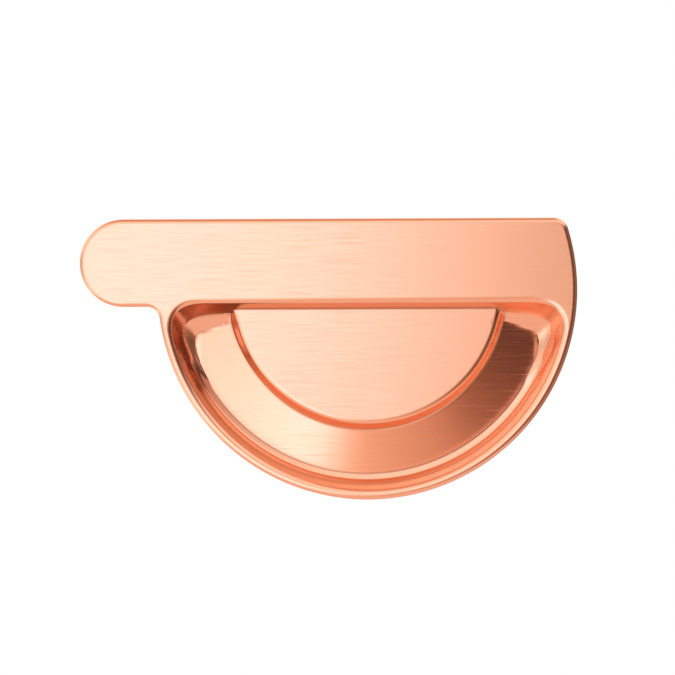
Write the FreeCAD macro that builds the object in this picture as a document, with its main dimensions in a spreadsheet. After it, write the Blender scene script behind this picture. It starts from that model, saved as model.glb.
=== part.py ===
import FreeCAD, Part
import math
import os

import Sketcher
from FreeCAD import Vector

# Right-hand end cap for a half-round gutter, pressed from one sheet of copper.
# X runs along the bar towards the back of the gutter, Y into the gutter and Z up.
# The origin is the axis of the half round, on the plane that stops the gutter's edge.
# The cap is what lies between two pressed forms: the outside face of the sheet, and the
# same form set back by the thickness of the sheet. A bend is round on the outside face, and
# eased by a flat of half its radius on the inside face, where the half disc's foot is crisp.
# On the outside face the bend at the plug's base opens out from the rim to the bar.

SIZES = {
    # The gutter that the cap closes.
    "gutter_diameter": 80.0,
    "gutter_sheet": 0.6,
    "bead_diameter": 16.0,
    "bead_height": 5.4,
    # The sheet of the cap and its fit on the gutter.
    "cap_sheet": 0.6,
    "flange_depth": 9.4,
    "flange_clearance": 0.2,
    "bead_clearance": 0.1,
    "plug_clearance": 0.05,
    # Outline of the bar and the half round.
    "back_corner_radius": 3.0,
    "throat_radius": 2.4,
    "outer_bend_radius": 1.0,
    # The dished plug below the bar, with a raised half disc in its middle.
    "bar_drop": 2.25,
    "crescent_width": 12.4,
    "crescent_depth": 3.9,
    "plateau_depth": 2.0,
    "rim_draft": 16.5,
    "bar_draft": 32.0,
    "disc_draft": 35.0,
    "crescent_slope": 14.0,
    # Rounding of the plug, as seen on the outside face.
    "mouth_radius": 1.1,
    "plug_corner_radius": 5.0,
    "plateau_edge_radius": 1.3,
    "disc_foot_radius": 1.5,
    "plug_base_radius": 1.2,
    "bar_base_radius": 1.7,
    "plateau_foot_radius": 0.5,
    # How far a cutting shape runs past the face that it cuts.
    "overrun": 2.0,
}

TOUCH = 1e-4
INSIDE_FLAT = 0.5
CREST_SHARE = 0.95

doc = FreeCAD.newDocument("gutter_end_cap")
sizes = doc.addObject("Spreadsheet::Sheet", "sizes")
for row, (alias, size) in enumerate(SIZES.items(), start=1):
    sizes.set(f"A{row}", alias)
    sizes.set(f"B{row}", str(size))
    sizes.setAlias(f"B{row}", alias)
doc.recompute()


def value(formula):
    """The number that a formula on the sheet's cells gives."""
    return float(sizes.evalExpression(formula))


class Form:
    """Formulas for one face of the sheet, set back by `inset` from the outside face."""

    def __init__(self, name, inset, rear_edge, bend, bend_share, crisp_foot):
        self.name = name
        self.inset = inset
        self.rear_edge = rear_edge
        self.bend = bend
        self.bend_share = bend_share
        self.crisp_foot = crisp_foot
        self.front = f"sizes.cap_sheet - {inset}"
        self.outer_radius = ("sizes.gutter_diameter / 2 + sizes.gutter_sheet + sizes.flange_clearance"
                             f" + sizes.cap_sheet - {inset}")
        self.bead_radius = f"sizes.bead_diameter / 2 + sizes.bead_clearance + sizes.cap_sheet - {inset}"
        self.bead_reach = "sizes.gutter_diameter / 2 + sizes.bead_diameter / 2"
        self.top = f"sizes.bead_height + {self.bead_radius}"
        self.rim_radius = ("sizes.gutter_diameter / 2 - sizes.plug_clearance"
                           f" - (sizes.cap_sheet - {inset}) / cos(sizes.rim_draft)")
        self.disc_radius = "sizes.gutter_diameter / 2 - sizes.crescent_width"
        self.disc_wall = f"{self.disc_radius} - {inset} / cos(sizes.disc_draft)"
        self.crescent = ("sizes.crescent_depth - sizes.cap_sheet"
                         f" + {inset} / cos(sizes.crescent_slope)")
        self.plateau = f"sizes.plateau_depth - sizes.cap_sheet + {inset}"
        self.bar_edge = f"sizes.bar_drop - {inset} / cos(sizes.bar_draft)"
        self.before_front = "sizes.cap_sheet + sizes.overrun"
        crest = ("sizes.gutter_sheet + sizes.flange_clearance + sizes.cap_sheet + sizes.plug_clearance"
                 " + sizes.cap_sheet / cos(sizes.rim_draft) - sizes.cap_sheet * tan(sizes.rim_draft)")
        crest_limit = (f"{CREST_SHARE} * ({crest} - sizes.outer_bend_radius)"
                       " / tan((90 - sizes.rim_draft) / 2)")
        self.mouth_radius = f"min(sizes.mouth_radius; {crest_limit}) - {inset}"

    def grown(self, radius):
        """Radius of a hollow bend, larger on the face that is set back."""
        return f"sizes.{radius} + {self.inset}"

    def shrunk(self, radius):
        """Radius of a crowned bend, smaller on the face that is set back."""
        return f"sizes.{radius} - {self.inset}"

    def bend_size(self, radius):
        """Radius of a bend on the outside face, or leg of the flat that eases it inside."""
        return self.bend_share * value(radius)


def attached_sketch(body, name, role):
    """A sketch on one of the body's own origin planes."""
    sketch = body.newObject("Sketcher::SketchObject", name)
    plane = next(item for item in body.Origin.OriginFeatures if item.Role == role)
    sketch.AttachmentSupport = [(plane, "")]
    sketch.MapMode = "FlatFace"
    return sketch


def dimension(sketch, name, formula, kind, *references):
    """A length on a sketch, bound to a formula on the sheet."""
    index = sketch.addConstraint(Sketcher.Constraint(kind, *references, value(formula)))
    sketch.renameConstraint(index, name)
    sketch.setExpression(f"Constraints.{name}", formula)


def inclination(sketch, name, formula, line):
    """The angle of a line on a sketch, in degrees, bound to a formula on the sheet."""
    index = sketch.addConstraint(Sketcher.Constraint("Angle", line, math.radians(value(formula))))
    sketch.renameConstraint(index, name)
    sketch.setExpression(f"Constraints.{name}", f"({formula}) * 1 deg")


def closed_polygon(sketch, points):
    """Lines from point to point and back to the first, joined at their ends."""
    count = len(points)
    for index, point in enumerate(points):
        following = points[(index + 1) % count]
        sketch.addGeometry(Part.LineSegment(Vector(*point, 0), Vector(*following, 0)))
    for index in range(count):
        sketch.addConstraint(Sketcher.Constraint("Coincident", index, 2, (index + 1) % count, 1))


def point_on_line(sketch, x, y, line):
    """A construction point that a line of the sketch passes through."""
    point = sketch.addGeometry(Part.Point(Vector(x, y, 0)), True)
    sketch.addConstraint(Sketcher.Constraint("PointOnObject", point, 1, line))
    return point


def half_round_sketch(body, form):
    """The half round, closed by the straight top edge."""
    sketch = attached_sketch(body, f"{form.name}_half_round", "XZ_Plane")
    radius = value(form.outer_radius)
    top = value(form.top)
    rise = math.asin(top / radius)
    half_chord = math.sqrt(radius**2 - top**2)
    circle = Part.Circle(Vector(0, 0, 0), Vector(0, 0, 1), radius)
    arc = sketch.addGeometry(Part.ArcOfCircle(circle, math.pi - rise, 2 * math.pi + rise))
    chord = sketch.addGeometry(Part.LineSegment(Vector(half_chord, top, 0), Vector(-half_chord, top, 0)))
    sketch.addConstraint(Sketcher.Constraint("Coincident", arc, 3, -1, 1))
    sketch.addConstraint(Sketcher.Constraint("Coincident", arc, 2, chord, 1))
    sketch.addConstraint(Sketcher.Constraint("Coincident", arc, 1, chord, 2))
    sketch.addConstraint(Sketcher.Constraint("Horizontal", chord))
    dimension(sketch, "outer_radius", form.outer_radius, "Radius", arc)
    dimension(sketch, "top_height", form.top, "DistanceY", -1, 1, chord, 1)
    return sketch


def bar_sketch(body, form):
    """The bar from the middle of the half round to the round end that covers the bead."""
    sketch = attached_sketch(body, f"{form.name}_bar", "XZ_Plane")
    radius = value(form.bead_radius)
    reach = value(form.bead_reach)
    height = value("sizes.bead_height")
    circle = Part.Circle(Vector(-reach, height, 0), Vector(0, 0, 1), radius)
    end = sketch.addGeometry(Part.ArcOfCircle(circle, math.pi / 2, 3 * math.pi / 2))
    corners = [
        Vector(-reach, height + radius, 0),
        Vector(0, height + radius, 0),
        Vector(0, height - radius, 0),
        Vector(-reach, height - radius, 0),
    ]
    top, middle, bottom = [
        sketch.addGeometry(Part.LineSegment(corners[index], corners[index + 1])) for index in range(3)
    ]
    for first, second in (((end, 1), (top, 1)), ((top, 2), (middle, 1)),
                          ((middle, 2), (bottom, 1)), ((bottom, 2), (end, 2))):
        sketch.addConstraint(Sketcher.Constraint("Coincident", *first, *second))
    sketch.addConstraint(Sketcher.Constraint("Horizontal", top))
    sketch.addConstraint(Sketcher.Constraint("Horizontal", bottom))
    sketch.addConstraint(Sketcher.Constraint("PointOnObject", middle, 1, -2))
    sketch.addConstraint(Sketcher.Constraint("PointOnObject", middle, 2, -2))
    sketch.addConstraint(Sketcher.Constraint("Vertical", end, 1, end, 3))
    sketch.addConstraint(Sketcher.Constraint("Vertical", end, 2, end, 3))
    dimension(sketch, "bead_radius", form.bead_radius, "Radius", end)
    dimension(sketch, "bead_reach", form.bead_reach, "DistanceX", end, 3, -1, 1)
    dimension(sketch, "bead_height", "sizes.bead_height", "DistanceY", -1, 1, end, 3)
    return sketch


def padded(body, name, form, sketch):
    """The sketch, moved to the form's front plane and drawn out to its rear edge."""
    sketch.setExpression("AttachmentOffset.Base.z", form.front)
    pad = body.newObject("PartDesign::Pad", name)
    pad.Profile = sketch
    pad.Reversed = True
    pad.setExpression("Length", f"{form.front} + {form.rear_edge}")
    return pad


def edge_names(shape, chosen):
    """The names of the chosen edges within a shape."""
    return [f"Edge{index}" for index, edge in enumerate(shape.Edges, start=1)
            if any(edge.isSame(other) for other in chosen)]


def middle_of(edge):
    """The point halfway along an edge."""
    return edge.valueAt((edge.FirstParameter + edge.LastParameter) / 2)


def rounded(body, name, chosen, radius):
    """A fillet on the chosen edges of the body's last feature."""
    base = body.Tip
    fillet = body.newObject("PartDesign::Fillet", name)
    fillet.Base = (base, edge_names(base.Shape, chosen))
    fillet.setExpression("Radius", radius)
    doc.recompute()
    return fillet


def upright_edges(shape):
    """Straight edges that run along Y."""
    return [edge for edge in shape.Edges
            if isinstance(edge.Curve, Part.Line) and abs(edge.Curve.Direction.y) > 1 - TOUCH]


def blank_block(form):
    """The solid behind the outline, before the plug is dished into it."""
    body = doc.addObject("PartDesign::Body", f"{form.name}_block")
    padded(body, f"{form.name}_half_round_pad", form, half_round_sketch(body, form))
    padded(body, f"{form.name}_bar_pad", form, bar_sketch(body, form))
    doc.recompute()
    back_corner = [edge for edge in upright_edges(body.Tip.Shape) if middle_of(edge).x > 0]
    rounded(body, f"{form.name}_back_corner", back_corner, form.shrunk("back_corner_radius"))
    outer_radius = value(form.outer_radius)
    throat = []
    for edge in upright_edges(body.Tip.Shape):
        middle = middle_of(edge)
        if middle.x < 0 and abs(math.hypot(middle.x, middle.z) - outer_radius) < TOUCH:
            throat.append(edge)
    rounded(body, f"{form.name}_throat", throat, form.grown("throat_radius"))
    return body


def plug_profile(body, form):
    """Half section of the dished plug, turned about Y: rim wall, crescent, disc wall, plateau."""
    sketch = attached_sketch(body, f"{form.name}_plug_profile", "XY_Plane")
    rim_slope = value("tan(sizes.rim_draft)")
    crescent_slope = value("tan(sizes.crescent_slope)")
    disc_slope = value("tan(sizes.disc_draft)")
    rim_radius = value(form.rim_radius)
    disc_radius = value(form.disc_radius)
    disc_wall = value(form.disc_wall)
    crescent = value(form.crescent)
    foot = value("sizes.crescent_depth - sizes.cap_sheet")
    plateau = value(form.plateau)
    before = value(form.before_front)
    base_radius = ((rim_radius - rim_slope * (crescent - crescent_slope * disc_radius))
                   / (1 + rim_slope * crescent_slope))
    foot_radius = ((disc_wall + disc_slope * (crescent - crescent_slope * disc_radius - foot))
                   / (1 - disc_slope * crescent_slope))
    closed_polygon(sketch, [
        (0, -before),
        (rim_radius + rim_slope * before, -before),
        (base_radius, crescent + crescent_slope * (base_radius - disc_radius)),
        (foot_radius, crescent + crescent_slope * (foot_radius - disc_radius)),
        (disc_wall - disc_slope * (foot - plateau), plateau),
        (0, plateau),
    ])
    opening, rim_line, crescent_line, disc_line, plateau_line = range(5)
    sketch.addConstraint(Sketcher.Constraint("Horizontal", opening))
    sketch.addConstraint(Sketcher.Constraint("Horizontal", plateau_line))
    sketch.addConstraint(Sketcher.Constraint("PointOnObject", opening, 1, -2))
    sketch.addConstraint(Sketcher.Constraint("PointOnObject", plateau_line, 2, -2))
    rim_point = point_on_line(sketch, rim_radius, 0, rim_line)
    crescent_point = point_on_line(sketch, disc_radius, crescent, crescent_line)
    disc_point = point_on_line(sketch, disc_wall, foot, disc_line)
    sketch.addConstraint(Sketcher.Constraint("PointOnObject", rim_point, 1, -1))
    inclination(sketch, "rim_inclination", "90 + sizes.rim_draft", rim_line)
    inclination(sketch, "crescent_inclination", "180 + sizes.crescent_slope", crescent_line)
    inclination(sketch, "disc_inclination", "270 - sizes.disc_draft", disc_line)
    dimension(sketch, "before_front", form.before_front, "DistanceY", opening, 1, -1, 1)
    dimension(sketch, "plateau", form.plateau, "DistanceY", -1, 1, plateau_line, 1)
    dimension(sketch, "rim_radius", form.rim_radius, "DistanceX", -1, 1, rim_point, 1)
    dimension(sketch, "disc_radius", form.disc_radius, "DistanceX", -1, 1, crescent_point, 1)
    dimension(sketch, "crescent", form.crescent, "DistanceY", -1, 1, crescent_point, 1)
    dimension(sketch, "disc_wall", form.disc_wall, "DistanceX", -1, 1, disc_point, 1)
    dimension(sketch, "foot", "sizes.crescent_depth - sizes.cap_sheet", "DistanceY", -1, 1, disc_point, 1)
    return sketch


def bar_wall_sketch(body, form):
    """Side view of what the bar keeps solid: everything above its sloping lower wall."""
    sketch = attached_sketch(body, f"{form.name}_bar_wall", "YZ_Plane")
    slope = value("tan(sizes.bar_draft)")
    edge = value(form.bar_edge)
    sheet = value("sizes.cap_sheet")
    before = value(form.before_front)
    depth = value("sizes.flange_depth")
    roof = value(form.outer_radius)
    closed_polygon(sketch, [
        (-before, slope * (before - sheet) - edge),
        (depth, -slope * (depth + sheet) - edge),
        (depth, roof),
        (-before, roof),
    ])
    wall, rear, ceiling, front = range(4)
    sketch.addConstraint(Sketcher.Constraint("Vertical", rear))
    sketch.addConstraint(Sketcher.Constraint("Horizontal", ceiling))
    sketch.addConstraint(Sketcher.Constraint("Vertical", front))
    wall_point = point_on_line(sketch, -sheet, -edge, wall)
    inclination(sketch, "wall_inclination", "-sizes.bar_draft", wall)
    dimension(sketch, "sheet", "sizes.cap_sheet", "DistanceX", wall_point, 1, -1, 1)
    dimension(sketch, "bar_edge", form.bar_edge, "DistanceY", wall_point, 1, -1, 1)
    dimension(sketch, "before_front", form.before_front, "DistanceX", front, 1, -1, 1)
    dimension(sketch, "depth", "sizes.flange_depth", "DistanceX", -1, 1, ceiling, 1)
    dimension(sketch, "roof", form.outer_radius, "DistanceY", -1, 1, ceiling, 1)
    return sketch


def face_at(shape, x, y, z):
    """The face that passes through a point."""
    vertex = Part.Vertex(Vector(x, y, z))
    return min(shape.Faces, key=lambda face: face.distToShape(vertex)[0])


def shared_edges(first, second):
    """Edges that lie between two faces."""
    return [edge for edge in first.Edges if any(edge.isSame(other) for other in second.Edges)]


class PlugFaces:
    """The faces of the plug's hollow, found by a point on each."""

    def __init__(self, shape, form):
        plateau = value(form.plateau)
        foot = value("sizes.crescent_depth - sizes.cap_sheet")
        halfway_up = (plateau + foot) / 2
        disc_radius = value(form.disc_radius)
        disc_halfway = value(form.disc_wall) - value("tan(sizes.disc_draft)") * (foot - halfway_up)
        crescent_middle = (disc_radius + value(form.rim_radius)) / 2
        crescent_rise = value("tan(sizes.crescent_slope)") * (crescent_middle - disc_radius)
        bar_edge = value(form.bar_edge) + value("tan(sizes.bar_draft) * sizes.cap_sheet")
        self.rim = face_at(shape, 0, 0, -value(form.rim_radius))
        self.bar = face_at(shape, 0, 0, -bar_edge)
        self.plateau = face_at(shape, 0, plateau, -disc_radius / 2)
        self.disc = face_at(shape, 0, halfway_up, -disc_halfway)
        self.crescent = face_at(shape, 0, value(form.crescent) + crescent_rise, -crescent_middle)


def plug_hollow(form):
    """What the press takes out of the block: the D-shaped plug, with its edges still sharp inside."""
    body = doc.addObject("PartDesign::Body", f"{form.name}_plug")
    turned = body.newObject("PartDesign::Revolution", f"{form.name}_turned_plug")
    profile = plug_profile(body, form)
    turned.Profile = profile
    turned.ReferenceAxis = (profile, ["V_Axis"])
    turned.Angle = 360
    kept_bar = body.newObject("PartDesign::Pocket", f"{form.name}_kept_bar")
    kept_bar.Profile = bar_wall_sketch(body, form)
    kept_bar.Type = "ThroughAll"
    kept_bar.SideType = "Symmetric"
    body.Tip = kept_bar
    doc.recompute()
    faces = PlugFaces(body.Tip.Shape, form)
    rounded(body, f"{form.name}_plug_corners", shared_edges(faces.rim, faces.bar),
            form.grown("plug_corner_radius"))
    return body


def even(edges, radius):
    """A bend with one radius on all its edges."""
    return edges, radius, radius


def growing(edge, upper, lower):
    """A bend on one edge, from a radius at its upper end to another at its lower end."""
    first, last = [vertex.Point.z for vertex in edge.Vertexes]
    return ([edge], upper, lower) if first > last else ([edge], lower, upper)


def bent(form, name, base, bends):
    """A copy of a solid with several edges bent at once, each to its own radii."""
    bend = doc.addObject(form.bend, f"{form.name}_{name}")
    bend.Base = base
    bend.Edges = [
        (index, form.bend_size(first), form.bend_size(last))
        for index, edge in enumerate(base.Shape.Edges, start=1)
        for chosen, first, last in bends
        if any(edge.isSame(other) for other in chosen)
    ]
    doc.recompute()
    return bend


def bent_plug(form):
    """The plug's hollow with the bends at its base and round the half disc."""
    hollow = plug_hollow(form)
    faces = PlugFaces(hollow.Shape, form)
    plateau_edge = shared_edges(faces.disc, faces.plateau)
    crowned = bent(form, "plateau_edge", hollow, [even(plateau_edge, form.shrunk("plateau_edge_radius"))])
    faces = PlugFaces(crowned.Shape, form)
    disc_radius = value(form.disc_radius)
    disc_foot = shared_edges(faces.disc, faces.crescent)
    plateau_foot = [edge for edge in faces.bar.Edges
                    if middle_of(edge).y > 0 and abs(middle_of(edge).x) < disc_radius]
    base = [edge for edge in faces.crescent.Edges if not any(edge.isSame(other) for other in disc_foot)]
    at_rim, at_bar = form.grown("plug_base_radius"), form.grown("bar_base_radius")
    if form.crisp_foot:
        return bent(form, "bent_plug", crowned, [even(base, at_rim)])
    rim_base = shared_edges(faces.rim, faces.crescent)
    bar_base = shared_edges(faces.bar, faces.crescent)
    corner_base = [edge for edge in base if not any(edge.isSame(other) for other in rim_base + bar_base)]
    return bent(form, "bent_plug", crowned, [
        even(rim_base, at_rim),
        even(bar_base, at_bar),
        *[growing(edge, at_bar, at_rim) for edge in corner_base],
        even(disc_foot, form.grown("disc_foot_radius")),
        even(plateau_foot, form.grown("plateau_foot_radius")),
    ])


def pressed_form(form):
    """The solid behind one face of the sheet, with every bend of that face."""
    cut = doc.addObject("Part::Cut", f"{form.name}_cut")
    cut.Base = blank_block(form)
    cut.Tool = bent_plug(form)
    doc.recompute()
    front = face_at(cut.Shape, -value(form.bead_reach), -value(form.front), value("sizes.bead_height"))
    outline = front.OuterWire.Edges
    mouth = [edge for edge in front.Edges if not any(edge.isSame(other) for other in outline)]
    return bent(form, "form", cut, [
        even(outline, form.shrunk("outer_bend_radius")),
        even(mouth, form.mouth_radius),
    ])


outside = Form("outside", inset="0", rear_edge="sizes.flange_depth",
               bend="Part::Fillet", bend_share=1, crisp_foot=False)
inside = Form("inside", inset="sizes.cap_sheet", rear_edge="sizes.flange_depth + sizes.overrun",
              bend="Part::Chamfer", bend_share=INSIDE_FLAT, crisp_foot=True)

end_cap = doc.addObject("Part::Cut", "end_cap")
end_cap.Label = "end_cap"
end_cap.Base = pressed_form(outside)
end_cap.Tool = pressed_form(inside)
doc.recompute()

for item in doc.Objects:
    if "Invalid" in item.State or "Error" in item.State:
        raise RuntimeError(f"{item.Label} failed: {item.State}")
if end_cap.Shape.isNull() or not end_cap.Shape.isValid() or len(end_cap.Shape.Solids) != 1:
    raise RuntimeError("the end cap is not one valid solid")

os.makedirs("parts", exist_ok=True)
end_cap.Shape.exportStep(f"parts/{end_cap.Label}.step")
box = end_cap.Shape.optimalBoundingBox()
print(f"{end_cap.Label}: {box.XLength:.2f} x {box.YLength:.2f} x {box.ZLength:.2f} mm,"
      f" {end_cap.Shape.Volume:.1f} mm3, {len(end_cap.Shape.Faces)} faces")
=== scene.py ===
import logging
import math
from collections.abc import Sequence
from dataclasses import dataclass
from enum import Enum

import bmesh
import bpy
import numpy as np
from bpy.types import ID, Material, Mesh, Node, NodeSocket, NodeTree, Object
from mathutils import Euler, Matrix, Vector
from mathutils.geometry import delaunay_2d_cdt


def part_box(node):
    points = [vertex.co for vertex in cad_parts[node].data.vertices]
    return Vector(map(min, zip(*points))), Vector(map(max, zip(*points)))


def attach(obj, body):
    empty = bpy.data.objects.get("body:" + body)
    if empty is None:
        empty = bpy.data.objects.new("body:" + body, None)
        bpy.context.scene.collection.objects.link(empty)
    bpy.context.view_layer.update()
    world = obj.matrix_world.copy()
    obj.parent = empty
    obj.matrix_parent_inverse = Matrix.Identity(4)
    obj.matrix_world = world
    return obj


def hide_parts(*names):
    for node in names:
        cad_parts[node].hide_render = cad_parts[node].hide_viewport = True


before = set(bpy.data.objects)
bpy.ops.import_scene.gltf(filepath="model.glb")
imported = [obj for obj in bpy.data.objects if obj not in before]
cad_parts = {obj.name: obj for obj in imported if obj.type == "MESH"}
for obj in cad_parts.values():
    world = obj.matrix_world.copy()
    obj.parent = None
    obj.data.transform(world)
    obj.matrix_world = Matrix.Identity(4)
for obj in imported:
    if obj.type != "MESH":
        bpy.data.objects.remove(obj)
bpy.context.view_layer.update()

log = logging.getLogger("end_cap_scene")
logging.basicConfig(level=logging.INFO, format="%(message)s")

MM = 0.001
Pair = tuple[float, float]
Colour = tuple[float, float, float]
Stops = tuple[tuple[float, Colour], ...]
Rows = tuple[np.ndarray, np.ndarray]
Entry = NodeSocket | Material | tuple[float, ...] | float | str


class Turn(Enum):
    """Which way a bend goes, as seen on the outside face."""

    HOLLOW = 1.0
    CROWNED = -1.0


class Blend(Enum):
    """How one colour is laid over another."""

    COVER = "MIX"
    ADD = "ADD"


@dataclass(frozen=True)
class CapSizes:
    """Sizes of the cap on its outside face, in millimetres and degrees."""

    gutter_diameter: float = 80.0
    gutter_sheet: float = 0.6
    bead_diameter: float = 16.0
    bead_height: float = 5.4
    sheet: float = 0.6
    flange_depth: float = 9.4
    flange_clearance: float = 0.2
    bead_clearance: float = 0.1
    outline_inset: float = 0.012
    plug_clearance: float = 0.05
    back_corner_radius: float = 3.0
    throat_radius: float = 2.4
    outer_bend_radius: float = 1.0
    bar_drop: float = 2.25
    crescent_width: float = 12.4
    crescent_depth: float = 3.9
    crescent_lead: float = 1.5
    crescent_blend: float = 2.5
    plateau_depth: float = 2.0
    rim_draft: float = 16.5
    bar_draft: float = 36.0
    disc_draft: float = 35.0
    crescent_slope: float = 14.0
    mouth_radius: float = 1.1
    bar_mouth_radius: float = 1.5
    plug_corner_radius: float = 5.0
    corner_reach: float = 8.1
    corner_base_radius: float = 5.0
    pocket_from: float = -20.0
    pocket_to: float = -10.0
    shelf_reach: float = 3.0
    pocket_shelf_reach: float = 5.3
    corner_shelf_reach: float = 5.4
    bar_shelf_reach: float = 4.2
    bar_shelf_slant: float = 2.0
    shelf_lift: float = 0.49
    bar_shelf_lift: float = 0.50
    corner_shelf_lift: float = 0.66
    shelf_crease: float = 0.14
    plateau_edge_radius: float = 1.3
    disc_foot_radius: float = 1.5
    plug_base_radius: float = 0.7
    pocket_base_radius: float = 3.0
    bar_base_radius: float = 5.0
    plateau_foot_radius: float = 0.25
    plateau_foot_height: float = 0.5
    # Width of the painted shade laid along the plug's creases.
    crease_shade_width: float = 0.28

    @property
    def outer_radius(self) -> float:
        """Radius of the half round."""
        inside = self.gutter_diameter / 2 + self.gutter_sheet + self.flange_clearance
        return inside + self.sheet - self.outline_inset

    @property
    def bead_radius(self) -> float:
        """Radius of the round end that covers the bead."""
        return self.bead_diameter / 2 + self.bead_clearance + self.sheet - self.outline_inset

    @property
    def bead_reach(self) -> float:
        """Distance from the half round's axis to the bead's."""
        return (self.gutter_diameter + self.bead_diameter) / 2

    @property
    def top(self) -> float:
        """Height of the bar's upper edge."""
        return self.bead_height + self.bead_radius

    @property
    def back_corner_x(self) -> float:
        """Place of the centre of the rounded back corner along the bar."""
        corner = self.back_corner_radius
        return math.sqrt((self.outer_radius - corner) ** 2 - (self.top - corner) ** 2)

    @property
    def rim_lean(self) -> float:
        """How far the rim wall leans inwards for each millimetre of depth."""
        return math.tan(math.radians(self.rim_draft))

    @property
    def bar_lean(self) -> float:
        """How far the bar wall leans inwards for each millimetre of depth."""
        return math.tan(math.radians(self.bar_draft))

    @property
    def mouth_rim(self) -> float:
        """Radius at which the rim wall would meet the front plane."""
        fit = self.gutter_diameter / 2 - self.plug_clearance
        return fit - self.sheet / math.cos(math.radians(self.rim_draft)) + self.sheet * self.rim_lean

    @property
    def disc_radius(self) -> float:
        """Radius of the half disc at its foot."""
        return self.gutter_diameter / 2 - self.crescent_width

    @property
    def mouth_flat(self) -> float:
        """How far outside the rim wall's edge the mouth bend starts."""
        return self.mouth_radius * math.tan(math.radians(90 - self.rim_draft) / 2)


@dataclass(frozen=True)
class Arc:
    """A round stretch of an outline, turned from one angle to another."""

    centre: Pair
    radius: float
    start: float
    end: float

    def sample(self, spacing: float, turn: float) -> Rows:
        """Points along the arc, without its last, and their normals to the left.

        Args:
            spacing: Longest step between points, in millimetres.
            turn: Largest turn between points, in degrees.

        Returns:
            Points and normals, one row each.
        """
        sweep = self.end - self.start
        length = abs(math.radians(sweep)) * self.radius
        count = math.ceil(max(length / spacing, abs(sweep) / turn))
        angles = np.radians(self.start + sweep * np.arange(count) / count)
        spokes = np.stack([np.cos(angles), np.sin(angles)], axis=1)
        return np.array(self.centre) + self.radius * spokes, -math.copysign(1.0, sweep) * spokes


@dataclass(frozen=True)
class Line:
    """A straight stretch of an outline."""

    start: Pair
    end: Pair

    def sample(self, spacing: float, turn: float) -> Rows:
        """Points along the line, without its last, and their normals to the left.

        Args:
            spacing: Longest step between points, in millimetres.
            turn: Not used, because a line doesn't turn.

        Returns:
            Points and normals, one row each.
        """
        start = np.array(self.start)
        run = np.array(self.end) - start
        length = float(np.hypot(*run))
        count = math.ceil(length / spacing)
        points = start + run * (np.arange(count) / count)[:, None]
        return points, np.tile(np.array([-run[1], run[0]]) / length, (count, 1))


def sample_outline(stretches: Sequence[Arc | Line], spacing: float, turn: float) -> Rows:
    """Points and inward normals round a closed outline that runs anticlockwise.

    Args:
        stretches: Lines and arcs, each starting where the last one ends.
        spacing: Longest step between points, in millimetres.
        turn: Largest turn between points on an arc, in degrees.

    Returns:
        Points and normals, one row each.
    """
    parts = [stretch.sample(spacing, turn) for stretch in stretches]
    return np.concatenate([part[0] for part in parts]), np.concatenate([part[1] for part in parts])


def feed(node: Node, entries: dict[str | int, Entry]) -> Node:
    """Sets inputs of a node.

    Args:
        node: The node.
        entries: Names or places of inputs, each with its value or with the socket that feeds it.

    Returns:
        The same node.
    """
    for name, entry in entries.items():
        if isinstance(entry, NodeSocket):
            node.id_data.links.new(entry, node.inputs[name])
        else:
            node.inputs[name].default_value = entry
    return node


def add_node(tree: NodeTree, kind: str, entries: dict[str | int, Entry], **options: str) -> Node:
    """Adds a node to a tree.

    Args:
        tree: The tree.
        kind: Type of the node.
        entries: Its inputs, as for feed.
        options: Its options, which are set before the inputs.

    Returns:
        The new node.
    """
    node = tree.nodes.new(kind)
    for name, option in options.items():
        setattr(node, name, option)
    return feed(node, entries)


def mix_colours(share: NodeSocket, under: Entry, over: Entry, blend: Blend = Blend.COVER) -> NodeSocket:
    """Lays one colour over another.

    Args:
        share: Socket that says how much of the second there is, from 0 to 1.
        under: The first colour or its socket.
        over: The second colour or its socket.
        blend: Whether the second covers the first or adds to it.

    Returns:
        The socket that gives the two together.
    """
    entries = {"Factor": share, "A": under, "B": over}
    node = add_node(share.id_data, "ShaderNodeMix", entries, data_type="RGBA", blend_type=blend.value)
    return node.outputs["Result"]


def add_object(name: str, data: ID) -> Object:
    """Makes an object and links it to the scene.

    Args:
        name: Name of the object.
        data: Its mesh, lamp or camera.

    Returns:
        The object.
    """
    thing = bpy.data.objects.new(name, data)
    bpy.context.scene.collection.objects.link(thing)
    return thing


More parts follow.
